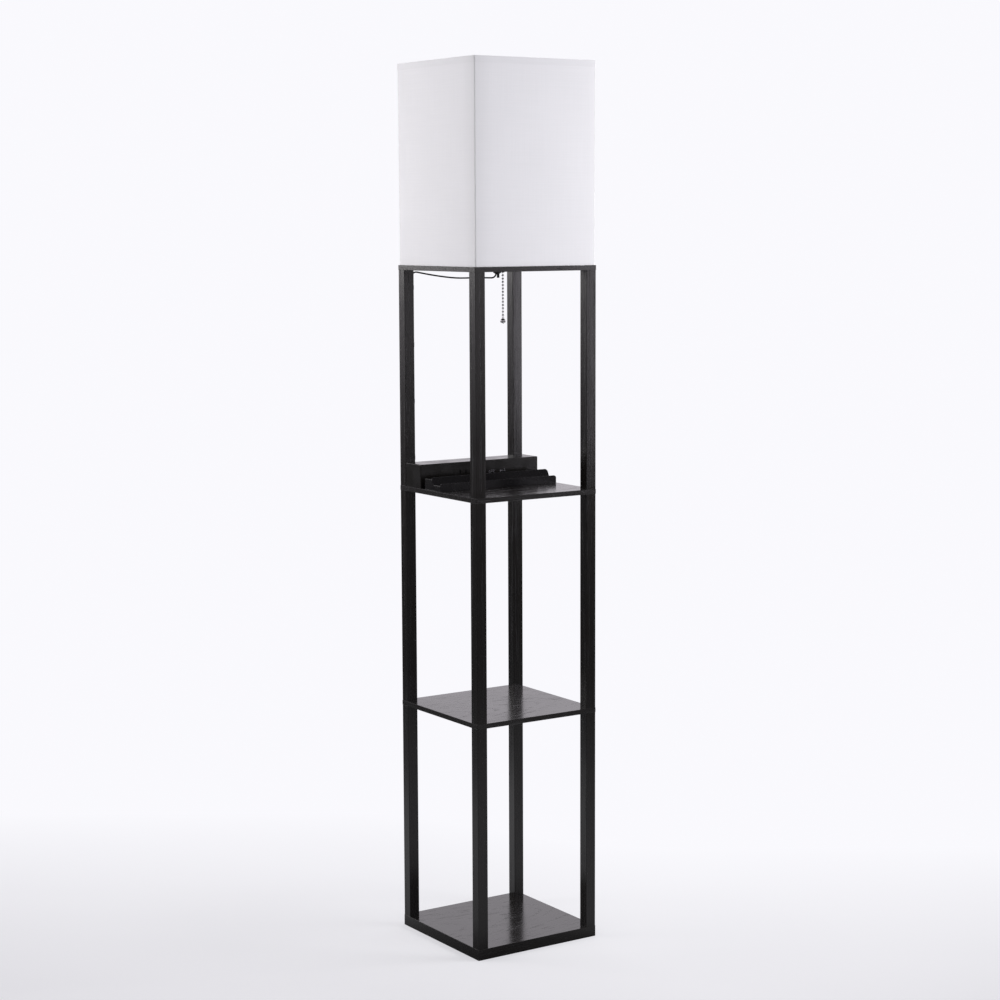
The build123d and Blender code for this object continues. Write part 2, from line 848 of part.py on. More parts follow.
def wall_bush(x, z, bore):
    """Bush in the box's back wall, flanged inside."""
    wall = box_back - box_wall
    outer = bore + 2 * bush_wall
    bush = level_disc(outer, x, z, wall, box_back)
    bush += level_disc(outer + 2 * bush_flange_width, x, z, wall - bush_flange_thickness, wall)
    return bush - level_disc(bore, x, z, wall - bush_flange_thickness, box_back)


def lead_terminal():
    """Terminal on the box's floor that the lead's end meets."""
    x, back, _ = lead_end
    low = (x - terminal_width / 2, back - terminal_length, box_plate_top)
    return block(low, (x + terminal_width / 2, back, box_plate_top + terminal_height))


def panel_screw(x, y, clamped):
    """Pan-head screw from under the upper shelf through what it clamps."""
    head_bottom = upper_shelf_bottom - panel_screw_head_height
    screw = disc(panel_screw_head_diameter, panel_screw_head_height, x, y, head_bottom)
    return screw + disc(panel_screw_diameter, clamped + panel_screw_bite, x, y, upper_shelf_bottom)


def panel_screws():
    """Four screws for the charging box and two for the device dock."""
    clamped = shelf_thickness + box_plate_thickness
    screws = [panel_screw(x, y, clamped) for x, y in box_screw_places]
    screws += [panel_screw(x, y, shelf_thickness) for x, y in dock_screw_places]
    return group(screws)


# ---- Device dock ----


def dock_profile():
    """Side view of the dock: a lipped step, a leaning riser and a higher lipped step."""
    floor_y = dock_lip_thickness
    back_floor_y = riser_top_y + dock_lip_thickness
    points = [
        (0, 0),
        (0, front_lip_height),
        (floor_y, front_lip_height),
        (floor_y, front_floor_height),
        (front_step_depth, front_floor_height),
        (riser_top_y, back_lip_height),
        (back_floor_y, back_lip_height),
        (back_floor_y, back_floor_height),
        (dock_depth, back_floor_height),
        (dock_depth, 0),
    ]
    outline = make_face(Polyline(*points, close=True))
    lip_levels = (front_lip_height, back_lip_height)
    lips = [v for v in outline.vertices() if any(abs(v.Y - level) < 0.01 for level in lip_levels)]
    return fillet(lips, dock_lip_radius)


def dock_cavity():
    """Side view of the hollow under the two steps."""
    lean = radians(riser_lean)
    front_roof = front_floor_height - dock_wall
    back_roof = back_floor_height - dock_wall
    riser_foot = front_step_depth + dock_wall / cos(lean) - dock_wall * tan(lean)
    riser_head = riser_foot + (back_roof - front_roof) * tan(lean)
    points = [
        (dock_wall, 0),
        (dock_wall, front_roof),
        (riser_foot, front_roof),
        (riser_head, back_roof),
        (dock_depth - dock_wall, back_roof),
        (dock_depth - dock_wall, 0),
    ]
    return make_face(Polyline(*points, close=True))


def along_dock(face, start, end):
    """Extrudes a side view, in depth and height, between two distances from the dock's middle."""
    origin = (dock_offset + start, dock_front, upper_shelf_top)
    plane = Plane(origin=origin, x_dir=(0, 1, 0), z_dir=(1, 0, 0))
    return extrude(plane * face, end - start)


def rounded_end_form(depth_start, depth_end, height):
    """Full-length form with rounded upper ends, used to round the ends of one step."""
    front_view = Rectangle(dock_length, height, align=(Align.CENTER, Align.MIN))
    top = front_view.vertices().sort_by(Axis.Y)[-2:]
    front_view = fillet(top, dock_end_radius)
    plane = facing_front(dock_offset, dock_front + depth_end, upper_shelf_top)
    return extrude(plane * front_view, depth_end - depth_start)


def device_dock():
    """Hollow two-step moulding with ribs and two screw bosses under it."""
    half = dock_length / 2
    form = along_dock(dock_profile(), -half, half)
    ends = rounded_end_form(0, front_step_depth, front_lip_height)
    ends += rounded_end_form(front_step_depth, dock_depth, back_lip_height)
    body = form & ends
    bays = dock_ribs + 1
    bay = (dock_length - 2 * dock_wall - dock_ribs * dock_rib_thickness) / bays
    for index in range(bays):
        start = dock_wall - half + index * (bay + dock_rib_thickness)
        body -= along_dock(dock_cavity(), start, start + bay)
    roof = back_floor_height - dock_wall / 2
    for x, y in dock_screw_places:
        body += disc(boss_diameter, roof, x, y, upper_shelf_top)
        bite = panel_screw_bite + panel_screw_end_gap
        body -= disc(panel_screw_diameter + 2 * thread_play, bite, x, y, upper_shelf_top)
    return body


# ---- Lead ----


def lead_radii():
    """Bend radius at each inner point of the route: as large as its runs and holders allow."""
    points = [Vector(*point) for point in lead_route]
    radii = []
    for before, point, after in zip(points, points[1:], points[2:]):
        turn = radians((point - before).get_angle(after - point))
        run = min((point - before).length, (after - point).length)
        radius = lead_bend_share * run / tan(turn / 2)
        sharp = turn > radians(lead_sharp_turn)
        radii.append(min(radius, lead_tight_radius) if sharp else radius)
    return radii


def lamp_lead():
    radii = lead_radii()
    path = Wire(FilletPolyline(*lead_route, radius=radii).edges())
    lead = wire_along(path, lead_diameter)
    section = pi * lead_diameter**2 / 4
    print("lead radii", [round(radius, 1) for radius in radii], "length", round(path.length, 1))
    print("lead volume over section x length", round(lead.volume / (section * path.length), 4))
    return lead


def lead_clips():
    """Saddle clips that hold the lead against the inner face of the back left post."""
    face = -post_inner
    channel = lead_diameter / 2 + lead_play
    low = (face, post_centre - clip_width / 2, 0)
    high = (lead_post_x + channel + clip_wall, post_centre + clip_width / 2, clip_height)
    saddle = block(low, high)
    saddle = fillet(saddle.edges().filter_by(Axis.Z).sort_by(Axis.X)[-2:], clip_wall)
    groove_low = (face, post_centre - channel, 0)
    saddle -= block(groove_low, (lead_post_x, post_centre + channel, clip_height))
    saddle -= disc(2 * channel, clip_height, lead_post_x, post_centre)
    lowest = upper_shelf_top + clip_bottom_rise - clip_height / 2
    highest = top_board_bottom - clip_top_drop - clip_height / 2
    spacing = (highest - lowest) / (clip_count - 1)
    return group(Pos(0, 0, lowest + index * spacing) * saddle for index in range(clip_count))


def lead_grip():
    """Peg that wedges the lead in the nipple's bore."""
    offset = nipple_bore / 2 - grip_play - grip_diameter / 2
    x = nipple_offset - offset * cos(lead_angle)
    y = -offset * sin(lead_angle)
    return disc(grip_diameter, grip_length, x, y, top_board_bottom - grip_drop)


# ---- The whole lamp ----


def assembly():
    nodes = {
        "base_board": base_board(),
        "lower_shelf": open_shelf(lower_shelf_bottom),
        "upper_shelf": upper_shelf(),
        "top_board": top_board(),
        "base_bolts": base_bolts(),
        "shelf_studs": shelf_studs(),
        "post_inserts": post_inserts(),
        "top_board_screws": top_screws(),
        "threaded_nipple": threaded_nipple(),
        "lower_washer": lower_washer(),
        "lock_nuts": lock_nuts(),
        "holder_base": holder_base(),
        "socket_shell": socket_shell(),
        "socket_liner": socket_liner(),
        "screw_shell": screw_shell(),
        "contact_disc": contact_disc(),
        "centre_contact": centre_contact(),
        "shade_ring": shade_ring(),
        "bulb_cap": bulb_cap(),
        "bulb_globe": bulb_globe(),
        "chain_outlet": chain_outlet(),
        "switch_cartridge": switch_cartridge(),
        "switch_plunger": switch_plunger(),
        "outlet_chain": outlet_chain(),
        "chain_link": chain_link(),
        "hanging_chain": hanging_chain(),
        "chain_end_ball": chain_end_ball(),
        "shade_cover": shade_cover(),
        "shade_bottom_hem": shade_hem(top_board_top),
        "shade_top_hem": shade_hem(shade_top - hem_height),
        "shade_top_ring": wire_ring(ring_top_z),
        "shade_bottom_frame": shade_bottom_frame(),
        "shade_corner_wires": shade_corner_wires(),
        "box_housing": box_housing(),
        "box_plate": box_plate(),
        "circuit_board": circuit_board(),
        "usb_sockets": usb_sockets(),
        "mains_socket": mains_socket(),
        "lead_bush": wall_bush(*lead_bush_place),
        "mains_bush": wall_bush(*mains_bush_place),
        "lead_terminal": lead_terminal(),
        "device_dock": device_dock(),
        "panel_screws": panel_screws(),
        "lamp_lead": lamp_lead(),
        "lead_clips": lead_clips(),
        "lead_grip": lead_grip(),
    }
    for storey, bottom, length in storeys:
        for corner, x, y in corners:
            nodes[f"{storey}_post_{corner}"] = post(x, y, bottom, length)
    return nodes


os.makedirs("parts", exist_ok=True)
for name, shape in assembly().items():
    export_step(shape, f"parts/{name}.step")
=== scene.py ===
import json
from math import cos, radians, sin, tau

import bpy
from mathutils import Matrix, Vector

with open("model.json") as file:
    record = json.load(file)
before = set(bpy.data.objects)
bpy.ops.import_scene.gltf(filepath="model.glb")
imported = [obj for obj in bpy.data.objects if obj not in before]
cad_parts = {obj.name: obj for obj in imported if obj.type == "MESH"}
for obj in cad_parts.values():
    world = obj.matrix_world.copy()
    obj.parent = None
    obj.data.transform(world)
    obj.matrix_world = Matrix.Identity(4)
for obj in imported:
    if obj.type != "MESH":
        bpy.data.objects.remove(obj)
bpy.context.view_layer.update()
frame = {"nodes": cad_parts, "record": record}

# Metres and the frame's own axes: +Z up, -Y towards the front of the lamp. Rates are per metre.
# A ramp's tuple holds its two limits and then its values there. Without values it goes from 0 to 1.
nodes = frame["nodes"]

# Camera: fitted to the photograph
camera_place = (-2.26436, -3.43225, 1.32743)
camera_yaw = radians(33.483)
camera_pitch = radians(-7.079)
camera_roll = radians(-0.234)
camera_lens = 81.04
camera_sensor = 36.0

# Studio room: its white as the camera and as mirroring surfaces see it, and its even light
backdrop_white = (0.953, 0.948, 0.985, 1)
mirrored_white = (0.953, 0.908, 0.972, 1)
ambient_colour = (0.97, 0.97, 1.0, 1)
ambient_strength = 0.62

# Dark parts of the mirrored room, by how far a ray rises and how far it points to the camera
camera_side = (-sin(camera_yaw), -cos(camera_yaw), 0.0)
dark_below = (-0.12, -0.02, 0.95, 0.0)
dark_towards = (0.55, 0.80, 0.0, 0.66)
ceiling_rise = (0.06, 0.24)
ceiling_towards = (-0.72, -0.50, 0.0, 0.72)

# Floor: colours as the camera and as mirroring surfaces see it
floor_half = 12.0
floor_grey = (0.92, 0.91, 0.94, 1)
floor_mirrored_near = (0.06, 0.06, 0.065, 1)
floor_mirrored_left = (0.32, 0.32, 0.33, 1)
floor_mirrored_right = (0.62, 0.61, 0.63, 1)
floor_mirrored_far = (0.13, 0.13, 0.13, 1)

# Floor: where it turns white, and where its mirrored colours meet
# Painted light: the floor whitens more to the right, as if lit from that side
painted_light_skew = (-0.35, 0.35, -0.15, 0.15)
white_away = (-0.45, 0.70, 0.28, 1.0)
white_far = (1.3, 3.0)
sweep_away = (-0.35, 0.95)
sweep_aside = (0.6, 1.4, 1.0, 0.0)
mirrored_near = (0.16, 0.28)
mirrored_aside = (-0.5, 0.8)
mirrored_far = (1.1, 2.6)

# Ash: least roughness, how level a board's surface is from edge to face, and relief
board_polish = 0.15
edge_polish = 0.22
post_polish = 0.17
edge_to_face = (0.90, 0.98)
board_relief = 0.36
post_relief = 0.45
ash_relief = 0.00016

# Ash: colours of its black stain
stain_light = (0.0066, 0.0054, 0.0048, 1)
stain_deep = (0.0042, 0.0035, 0.0031, 1)
stain_pores = (0.0022, 0.0019, 0.0017, 1)

# Ash: year rings, bent and unevenly spaced by noise
ring_rate = 95.0
ring_bend_along = 3.0
ring_bend_across = 9.0
ring_bend = 0.020
ring_spacing_rate = 38.0
ring_spacing_change = 2.4
early_wood = (0.0, 0.42, 1.0, 0.0)
early_stain = 0.4
early_height = -0.35

# Ash: fine long pores, most of them in the early wood
pore_along = 14.0
pore_across = 620.0
pore_limits = (0.50, 0.66)
pores_early = 0.85
pores_late = 0.15
pore_height = -1.0
pore_roughness = 0.30

# Ash: broad clouds of deeper stain
cloud_along = 5.0
cloud_rate = 6.0
cloud_stain = (0.3, 0.7, 0.0, 0.45)
cloud_roughness = (0.25, 0.75, 0.0, 0.04)

# Ash: how the boards' veneer and the posts are cut from the log
crown_turn = 9.1
crown_shift = 0.05
crown_depth = 0.085
crown_rise = 0.20
crown_lift = 0.4
post_slant = 0.72
post_lean = 0.006

# Linen: colours
linen_light = (0.790, 0.780, 0.807)
linen_dark = (0.770, 0.761, 0.787)
# Painted shade: soft at the front left corner, then a fine line along each folded corner
linen_painted_shade = (0.59, 0.585, 0.60)
linen_painted_fold_shade = (0.60, 0.61, 0.585)
# Painted light: the paling at the front right corner
linen_painted_light = (0.90, 0.89, 0.92, 1)
hem_tone = 0.970

# Linen: threads, their thick places (slubs) and broad patches
thread_pitch = 0.00075
thread_change_rate = 40.0
thread_change = 3.0
slub_length_rate = 10.0
slub_upright_rate = 380.0
slub_level_rate = 420.0
slub_level_place = 7.0
slub_limits = (0.7, 1.3)
slub_height = 0.8
patch_rate = 9.0
patch_limits = (0.3, 0.7, -0.25, 0.25)
cloth_relief = 0.00012
cloth_relief_shown = 0.45

# Linen: where painted shade and painted light lie towards the shade's corners
painted_shade_corner = (-0.262, -0.214, 0.34, 0.0)
painted_light_corner = (0.240, 0.262, 0.0, 0.3)
# Painted shade along each folded corner: where it starts and how strong it is
fold_shade_limits = (0.970, 0.988)
fold_shade_share = 0.26

# Plastic, paint, rubber and metal: specks, and patches that are broader by speck_to_patch
speck_to_patch = 40
speck_colour = (0.35, 0.65, 0.0, 0.6)
patch_colour = (0.35, 0.65, 0.0, 0.4)
patch_rough = (0.3, 0.7)
patch_smoother = 0.04
patch_rougher = 0.05
speck_relief_shown = 0.5

# Lights: what they are aimed at
lower_shade = (0, 0, 1.38)
under_top_board = (0, 0, 1.2)
upper_bay = (0, 0, 1.0)
lamp_middle = (0, 0, 0.8)


# ---- Node graphs ----


class Graph:
    """Short way to write a material's or world's nodes."""

    def __init__(self, tree):
        self.tree = tree
        tree.nodes.clear()

    def node(self, kind, values=None, **settings):
        made = self.tree.nodes.new("ShaderNode" + kind)
        for key, value in settings.items():
            setattr(made, key, value)
        for key, value in (values or {}).items():
            self.put(made.inputs[key], value)
        return made

    def put(self, socket, value):
        if isinstance(value, bpy.types.NodeSocket):
            self.tree.links.new(value, socket)
        else:
            socket.default_value = value

    def maths(self, operation, *values, clamp=False):
        made = self.node("Math", operation=operation, use_clamp=clamp)
        for socket, value in zip(made.inputs, values):
            self.put(socket, value)
        return made.outputs[0]

    def add(self, a, b, clamp=False):
        return self.maths("ADD", a, b, clamp=clamp)

    def minus(self, a, b):
        return self.maths("SUBTRACT", a, b)

    def times(self, a, b):
        return self.maths("MULTIPLY", a, b)

    def larger(self, a, b):
        return self.maths("MAXIMUM", a, b)

    def unsigned(self, value):
        return self.maths("ABSOLUTE", value)

    def place(self):
        """Object coordinates, which are the frame's own."""
        return self.node("TexCoord").outputs["Object"]

    def axes(self, vector):
        split = self.node("SeparateXYZ", {0: vector})
        return split.outputs[0], split.outputs[1], split.outputs[2]

    def joined(self, x, y, z):
        return self.node("CombineXYZ", {0: x, 1: y, 2: z}).outputs[0]

    def noise(self, vector, detail, scale=1.0):
        values = {"Vector": vector, "Scale": scale, "Detail": detail}
        return self.node("TexNoise", values).outputs["Fac"]

    def ramp(self, value, low, high, to_low=0.0, to_high=1.0, smooth=True):
        kind = "SMOOTHSTEP" if smooth else "LINEAR"
        values = {0: value, 1: low, 2: high, 3: to_low, 4: to_high}
        return self.node("MapRange", values, interpolation_type=kind).outputs[0]

    def mix(self, factor, a, b):
        made = self.node("Mix", {0: factor}, data_type="RGBA")
        self.put(made.inputs[6], a)
        self.put(made.inputs[7], b)
        return made.outputs[2]

    def bump(self, height, distance, strength):
        values = {"Height": height, "Distance": distance, "Strength": strength}
        return self.node("Bump", values).outputs[0]

    def rays(self):
        """Whether a ray comes from the camera or through glass, and whether from a mirroring surface."""
        path = self.node("LightPath")
        through_glass = path.outputs["Is Transmission Ray"]
        straight = self.add(path.outputs["Is Camera Ray"], through_glass, clamp=True)
        return straight, path.outputs["Is Glossy Ray"]


# ---- Materials ----

finishes = {}


def material(name, build, **sockets):
    """Adds to finishes a material whose build function gives the varied sockets of its shader."""
    made = bpy.data.materials.new(name)
    made.use_nodes = True
    graph = Graph(made.node_tree)
    varied = build(graph)
    shader = graph.node("BsdfPrincipled")
    for key, value in {**sockets, **varied}.items():
        graph.put(shader.inputs[key.replace("_", " ")], value)
    output = graph.node("OutputMaterial")
    graph.tree.links.new(shader.outputs[0], output.inputs[0])
    finishes[name] = made


def speckled(name, colour, shade, grain, rough, relief, **sockets):
    """Fine-grained plastic, rubber, paint or metal: colour with specks of shade, relief in metres."""

    def build(graph):
        place = graph.place()
        fine = graph.noise(place, detail=2.0, scale=grain)
        broad = graph.noise(place, detail=3.0, scale=grain / speck_to_patch)
        specks = graph.ramp(fine, *speck_colour)
        patches = graph.ramp(broad, *patch_colour)
        share = graph.add(specks, patches, clamp=True)
        least = rough - patch_smoother
        most = rough + patch_rougher
        varied = {
            "Base_Color": graph.mix(share, (*colour, 1), (*shade, 1)),
            "Roughness": graph.ramp(broad, *patch_rough, least, most),
        }
        if relief:
            varied["Normal"] = graph.bump(fine, relief, speck_relief_shown)
        return varied

    material(name, build, **sockets)


def weave(graph, run, z):
    """Height of a plain weave of uneven threads; run is the level place along the cloth."""
    turn = tau / thread_pitch
    change_place = graph.joined(
        graph.times(run, thread_change_rate),
        0.0,
        graph.times(z, thread_change_rate),
    )
    change = graph.times(graph.noise(change_place, detail=2.0), thread_change)
    upright = graph.maths("SINE", graph.add(graph.times(run, turn), change))
    level = graph.maths("SINE", graph.add(graph.times(z, turn), change))
    return graph.ramp(graph.times(upright, level), -1.0, 1.0, smooth=False)


def slubs_of(graph, run, z):
    """Thick places in single threads: upright ones plus level ones."""
    upright_place = graph.joined(
        graph.times(run, slub_upright_rate),
        0.0,
        graph.times(z, slub_length_rate),
    )
    level_place = graph.joined(
        graph.times(run, slub_length_rate),
        slub_level_place,
        graph.times(z, slub_level_rate),
    )
    upright = graph.noise(upright_place, detail=3.0)
    level = graph.noise(level_place, detail=3.0)
    return graph.add(upright, level)


def linen(name, tone):
    """Off-white woven shade cloth; tone scales its colours, except the painted light's."""
    light, dark, corner_painted_shade, fold_shade_colour = (
        tuple(tone * value for value in colour) + (1,)
        for colour in (linen_light, linen_dark, linen_painted_shade, linen_painted_fold_shade)
    )

    def build(graph):
        place = graph.place()
        x, y, z = graph.axes(place)
        run = graph.add(x, y)
        slubs = slubs_of(graph, run, z)
        patches = graph.ramp(graph.noise(place, detail=2.0, scale=patch_rate), *patch_limits)
        share = graph.add(graph.ramp(slubs, *slub_limits), patches, clamp=True)
        cloth = graph.mix(share, light, dark)
        # Painted shade darkens the cloth softly towards the front left corner, and painted light pales
        # it at the front right one
        cloth = graph.mix(graph.ramp(run, *painted_shade_corner), cloth, corner_painted_shade)
        cloth = graph.mix(graph.ramp(graph.minus(x, y), *painted_light_corner), cloth, linen_painted_light)
        # Painted shade lays a fine, slightly darker line along each folded corner
        wide = graph.larger(graph.unsigned(x), graph.unsigned(y))
        narrow = graph.maths("MINIMUM", graph.unsigned(x), graph.unsigned(y))
        fold_shade = graph.ramp(graph.maths("DIVIDE", narrow, wide), *fold_shade_limits)
        height = graph.add(weave(graph, run, z), graph.times(slubs, slub_height))
        return {
            "Base_Color": graph.mix(graph.times(fold_shade, fold_shade_share), cloth, fold_shade_colour),
            "Normal": graph.bump(height, cloth_relief, cloth_relief_shown),
        }

    material(name, build, Roughness=0.92, Sheen_Weight=0.15, Sheen_Roughness=0.5)


def ash_from(graph, along, across, through, ring_distance, polish, relief):
    """Black-stained ash; places are by the grain, and polish is the least roughness."""
    bend_place = graph.joined(
        graph.times(along, ring_bend_along),
        graph.times(across, ring_bend_across),
        through,
    )
    bend = graph.noise(bend_place, detail=2.0)
    rings = graph.add(ring_distance, graph.times(bend, ring_bend))
    spacing_place = graph.joined(0.0, graph.times(rings, ring_spacing_rate), 0.0)
    spacing = graph.times(graph.noise(spacing_place, detail=1.0), ring_spacing_change)
    year = graph.maths("FRACT", graph.add(graph.times(rings, ring_rate), spacing))
    early = graph.ramp(year, *early_wood)

    streak_place = graph.joined(
        graph.times(along, pore_along),
        graph.times(across, pore_across),
        graph.times(through, pore_across),
    )
    pores = graph.ramp(graph.noise(streak_place, detail=2.0), *pore_limits)
    pore_share = graph.add(graph.times(early, pores_early), pores_late)
    open_pores = graph.times(pores, pore_share)

    cloud_place = graph.joined(graph.times(along, cloud_along), across, through)
    cloud = graph.noise(cloud_place, detail=3.0, scale=cloud_rate)
    early_tone = graph.times(early, early_stain)
    tone = graph.add(graph.ramp(cloud, *cloud_stain), early_tone, clamp=True)
    wood = graph.mix(tone, stain_light, stain_deep)
    clear = graph.add(graph.ramp(cloud, *cloud_roughness), polish)
    height = graph.add(graph.times(open_pores, pore_height), graph.times(early, early_height))
    return {
        "Base_Color": graph.mix(open_pores, wood, stain_pores),
        "Roughness": graph.add(graph.times(open_pores, pore_roughness), clear),
        "Normal": graph.bump(height, ash_relief, relief),
    }


def board_ash(graph):
    """Crown-cut veneer: long arches from side to side of the lamp, shifted from board to board."""
    x, y, z = graph.axes(graph.place())
    shift = graph.times(graph.maths("SINE", graph.times(z, crown_turn)), crown_shift)
    across = graph.minus(y, shift)
    depth = graph.add(graph.times(x, crown_rise), crown_depth)
    depth = graph.add(depth, graph.times(shift, crown_lift))
    squares = graph.add(graph.times(across, across), graph.times(depth, depth))
    _, _, facing = graph.axes(graph.node("NewGeometry").outputs["Normal"])
    polish = graph.ramp(graph.unsigned(facing), *edge_to_face, edge_polish, board_polish)
    return ash_from(graph, x, y, z, graph.maths("SQRT", squares), polish, board_relief)


def post_ash(graph):
    """Straight grain that runs up the post."""
    x, y, z = graph.axes(graph.place())
    slant = graph.add(x, graph.times(y, post_slant))
    rings = graph.add(slant, graph.times(z, post_lean))
    across = graph.add(x, y)
    through = graph.minus(x, y)
    return ash_from(graph, z, across, through, rings, post_polish, post_relief)


speckled(
    "plain_steel", (0.56, 0.56, 0.55), (0.46, 0.46, 0.45),
    grain=900, rough=0.36, relief=0.00003, Metallic=1.0,
)
speckled(
    "black_steel", (0.022, 0.022, 0.023), (0.014, 0.014, 0.014),
    grain=700, rough=0.42, relief=0.00003, Metallic=0.6,
)
speckled(
    "holder_plastic", (0.011, 0.011, 0.011), (0.007, 0.007, 0.007),
    grain=1100, rough=0.45, relief=0.00004,
)
speckled(
    "socket_metal", (0.62, 0.61, 0.58), (0.50, 0.49, 0.47),
    grain=700, rough=0.30, relief=0.00002, Metallic=1.0,
)
speckled(
    "white_insulator", (0.74, 0.73, 0.69), (0.66, 0.65, 0.61),
    grain=500, rough=0.50, relief=0.00003,
)
speckled(
    "contact_brass", (0.74, 0.55, 0.26), (0.58, 0.41, 0.18),
    grain=500, rough=0.28, relief=0.00002, Metallic=1.0,
)
speckled(
    "bulb_glass", (0.82, 0.82, 0.80), (0.77, 0.77, 0.75),
    grain=260, rough=0.22, relief=0.00001, Coat_Weight=0.4, Coat_Roughness=0.15,
)
speckled(
    "chain_chrome", (0.96, 0.96, 0.97), (0.90, 0.90, 0.91),
    grain=1400, rough=0.09, relief=0.0, Metallic=1.0,
)
speckled(
    "outlet_nickel", (0.72, 0.71, 0.69), (0.62, 0.61, 0.59),
    grain=1400, rough=0.18, relief=0.0, Metallic=1.0,
)
linen("shade_linen", 1.0)
linen("hem_linen", hem_tone)
speckled(
    "white_wire", (0.78, 0.78, 0.78), (0.70, 0.70, 0.70),
    grain=700, rough=0.30, relief=0.00002,
)
speckled(
    "box_plastic", (0.0082, 0.0074, 0.0066), (0.0055, 0.0050, 0.0046),
    grain=1500, rough=0.22, relief=0.00002, Specular_IOR_Level=0.34,
)
speckled(
    "dock_plastic", (0.0056, 0.0050, 0.0058), (0.0040, 0.0036, 0.0042),
    grain=1500, rough=0.26, relief=0.00001, Specular_IOR_Level=0.20,
)
speckled(
    "usb_steel", (0.42, 0.42, 0.43), (0.32, 0.32, 0.33),
    grain=900, rough=0.25, relief=0.00001, Metallic=1.0,
)
speckled(
    "circuit_green", (0.020, 0.150, 0.050), (0.010, 0.090, 0.030),
    grain=400, rough=0.35, relief=0.00003,
)
speckled(
    "terminal_plastic", (0.70, 0.70, 0.66), (0.60, 0.60, 0.57),
    grain=600, rough=0.45, relief=0.00003,
)
speckled(
    "black_rubber", (0.0035, 0.0035, 0.0035), (0.002, 0.002, 0.002),
    grain=1300, rough=0.85, relief=0.00005, Specular_IOR_Level=0.08,
)
material("board_ash", board_ash, Specular_IOR_Level=0.58)
material("post_ash", post_ash, Specular_IOR_Level=0.5)


def finish_of(node, slot):
    """Boards and posts share a slot, and the top hem is darker than the rest of the linen."""
    if slot == "black_ash":
        return finishes["post_ash" if "_post_" in node else "board_ash"]
    if node == "shade_top_hem":
        return finishes["hem_linen"]
    return finishes[slot]


def dress(node, finish):
    """Gives a node's mesh one material."""
    mesh = nodes[node].data
    mesh.materials.clear()
    mesh.materials.append(finish)


for subpart in frame["record"]["subparts"]:
    dress(subpart["node"], finish_of(subpart["node"], subpart["material_slot"]))


# ---- Stage, light and camera ----


def mirrored_darkness(graph):
    """How dark the mirrored room is: below the horizon, on the camera's side and at the ceiling."""
    direction = graph.node("TexCoord").outputs["Generated"]
    _, _, rise = graph.axes(direction)
    product = graph.node("VectorMath", {0: direction, 1: camera_side}, operation="DOT_PRODUCT")
    towards = product.outputs["Value"]
    dark = graph.larger(graph.ramp(rise, *dark_below), graph.ramp(towards, *dark_towards))
    # The ceiling ends where the backdrop rises behind the lamp
    ceiling = graph.times(graph.ramp(rise, *ceiling_rise), graph.ramp(towards, *ceiling_towards))
    return graph.larger(dark, ceiling)


def studio_world():
    """White as seen straight, white with dark parts as mirrored, and plain ambient light otherwise."""
    world = bpy.data.worlds.new("studio")
    world.use_nodes = True
    graph = Graph(world.node_tree)
    straight, glossy = graph.rays()
    seen = graph.add(straight, glossy, clamp=True)
    dark = graph.times(mirrored_darkness(graph), glossy)
    backdrop = graph.mix(glossy, backdrop_white, mirrored_white)
    brightness = graph.minus(1.0, dark)
    ambient = graph.node("Background", {"Color": ambient_colour, "Strength": ambient_strength})
    white = graph.node("Background", {"Color": backdrop, "Strength": brightness})
    mix = graph.node("MixShader", {0: seen, 1: ambient.outputs[0], 2: white.outputs[0]})
    graph.node("OutputWorld", {0: mix.outputs[0]})
    bpy.context.scene.world = world


def floor_paint():
    """Pale matt paint that keeps the shadows near the lamp and runs white into the backdrop."""
    paint = bpy.data.materials.new("studio_floor")
    paint.use_nodes = True
    graph = Graph(paint.node_tree)
    place = graph.place()
    x, y, _ = graph.axes(place)
    away = graph.add(graph.times(x, sin(camera_yaw)), graph.times(y, cos(camera_yaw)))
    aside = graph.add(graph.times(x, cos(camera_yaw)), graph.times(y, -sin(camera_yaw)))
    distance = graph.node("VectorMath", {0: place}, operation="LENGTH").outputs["Value"]
    straight, glossy = graph.rays()

    # Seen straight, it whitens away from the camera and far from the lamp, and more to the right as
    # painted light
    lean = graph.add(away, graph.ramp(aside, *painted_light_skew))
    pale = graph.ramp(lean, *white_away, smooth=False)
    seen_white = graph.times(graph.larger(pale, graph.ramp(distance, *white_far)), straight)
    # Mirrored, it is white in a sweep behind the lamp
    sides = graph.ramp(graph.unsigned(aside), *sweep_aside)
    sweep = graph.times(graph.ramp(away, *sweep_away), sides)
    fade = graph.larger(seen_white, graph.times(sweep, glossy))

    sideways = graph.ramp(aside, *mirrored_aside)
    mirrored = graph.mix(sideways, floor_mirrored_left, floor_mirrored_right)
    mirrored = graph.mix(graph.ramp(distance, *mirrored_near), floor_mirrored_near, mirrored)
    mirrored = graph.mix(graph.ramp(distance, *mirrored_far), mirrored, floor_mirrored_far)
    matt = graph.node("BsdfDiffuse", {"Color": graph.mix(glossy, floor_grey, mirrored)})
    white = graph.node("Emission", {"Color": backdrop_white, "Strength": 1.0})
    mix = graph.node("MixShader", {0: fade, 1: matt.outputs[0], 2: white.outputs[0]})
    graph.node("OutputMaterial", {0: mix.outputs[0]})
    return paint


def floor():
    """One large level square under the lamp."""
    signs = ((-1, -1), (1, -1), (1, 1), (-1, 1))
    corners = [(x * floor_half, y * floor_half, 0) for x, y in signs]
    mesh = bpy.data.meshes.new("studio_floor")
    mesh.from_pydata(corners, [], [(0, 1, 2, 3)])
    mesh.materials.append(floor_paint())
    plane = bpy.data.objects.new("studio_floor", mesh)
    bpy.context.scene.collection.objects.link(plane)


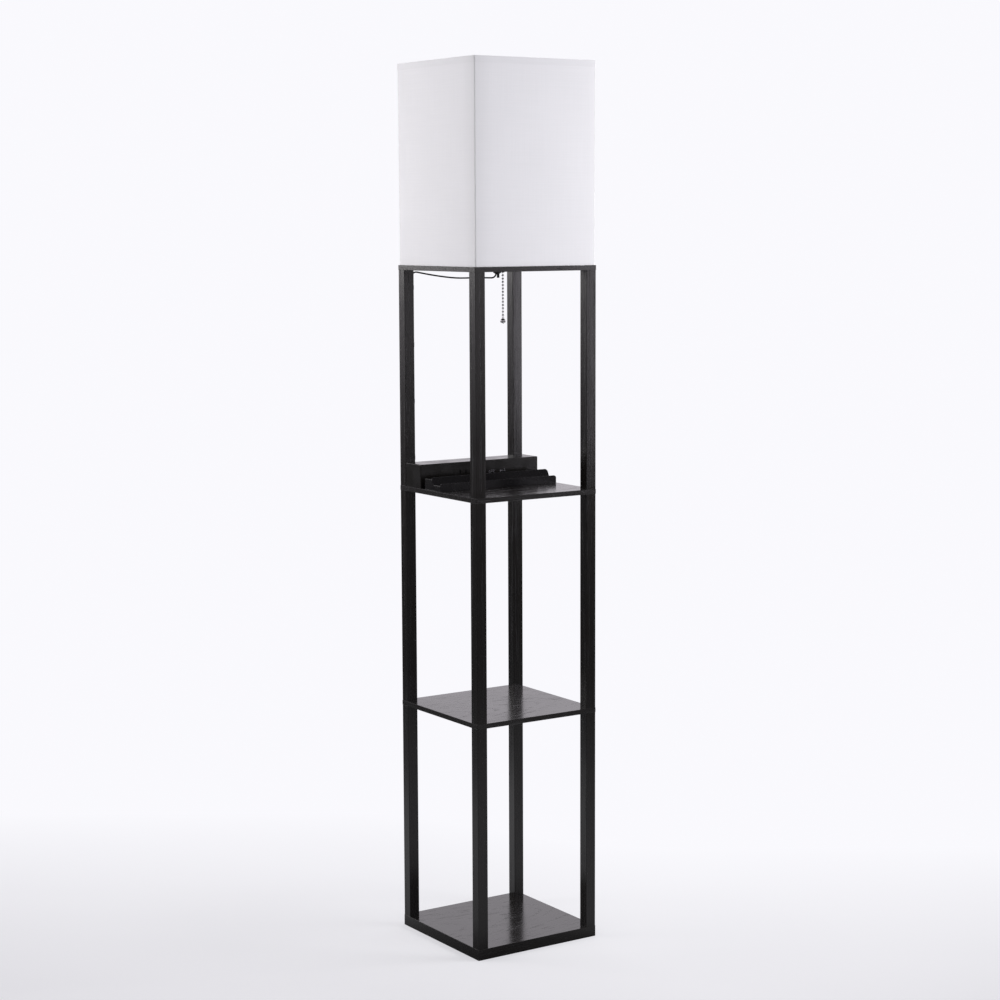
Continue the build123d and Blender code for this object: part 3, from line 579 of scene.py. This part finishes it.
def softbox(name, place, target, width, height, power, lights="all", colour=(1, 1, 1)):
    """Area light that the camera doesn't see; lights is the shading that gets it: matt, gloss or all."""
    lamp = bpy.data.lights.new(name, "AREA")
    lamp.shape = "RECTANGLE"
    lamp.size = width
    lamp.size_y = height
    lamp.energy = power
    lamp.color = colour
    light = bpy.data.objects.new(name, lamp)
    light.location = place
    light.rotation_mode = "QUATERNION"
    light.rotation_quaternion = (Vector(target) - Vector(place)).to_track_quat("-Z", "Y")
    light.visible_camera = False
    light.visible_glossy = lights != "matt"
    light.visible_diffuse = lights != "gloss"
    bpy.context.scene.collection.objects.link(light)


def photo_camera():
    """Camera turned by yaw from +Y, then tilted down, then rolled."""
    forward = cos(camera_pitch)
    ahead = Vector((sin(camera_yaw) * forward, cos(camera_yaw) * forward, sin(camera_pitch)))
    level = Vector((cos(camera_yaw), -sin(camera_yaw), 0))
    upright = level.cross(ahead)
    right = cos(camera_roll) * level + sin(camera_roll) * upright
    up = cos(camera_roll) * upright - sin(camera_roll) * level
    lens = bpy.data.cameras.new("camera")
    lens.lens = camera_lens
    lens.sensor_width = camera_sensor
    lens.sensor_fit = "HORIZONTAL"
    camera = bpy.data.objects.new("camera", lens)
    turn = Matrix((right, up, -ahead)).transposed().to_4x4()
    camera.matrix_world = Matrix.Translation(camera_place) @ turn
    bpy.context.scene.collection.objects.link(camera)
    bpy.context.scene.camera = camera


studio_world()
floor()
softbox(
    "left_softbox", place=(-0.95, 0.60, 1.42), target=lower_shade,
    width=0.5, height=0.6, power=5.4, lights="matt", colour=(1.0, 0.985, 0.95),
)
softbox(
    "right_softbox", place=(0.85, -0.75, 1.36), target=lower_shade,
    width=0.5, height=0.6, power=7.9, lights="matt",
)
softbox(
    "top_softbox", place=(0.2, -0.4, 3.6), target=lamp_middle,
    width=2.2, height=2.2, power=4,
)
softbox(
    "left_strip", place=(-1.36, 2.45, 1.37), target=under_top_board,
    width=0.7, height=0.3, power=2.6, lights="gloss", colour=(1.0, 0.99, 0.97),
)
softbox(
    "right_strip", place=(1.62, -1.69, 1.05), target=upper_bay,
    width=0.4, height=0.75, power=4.0, lights="gloss", colour=(0.95, 0.91, 1.0),
)
photo_camera()

view = bpy.context.scene.view_settings
view.view_transform = "Standard"
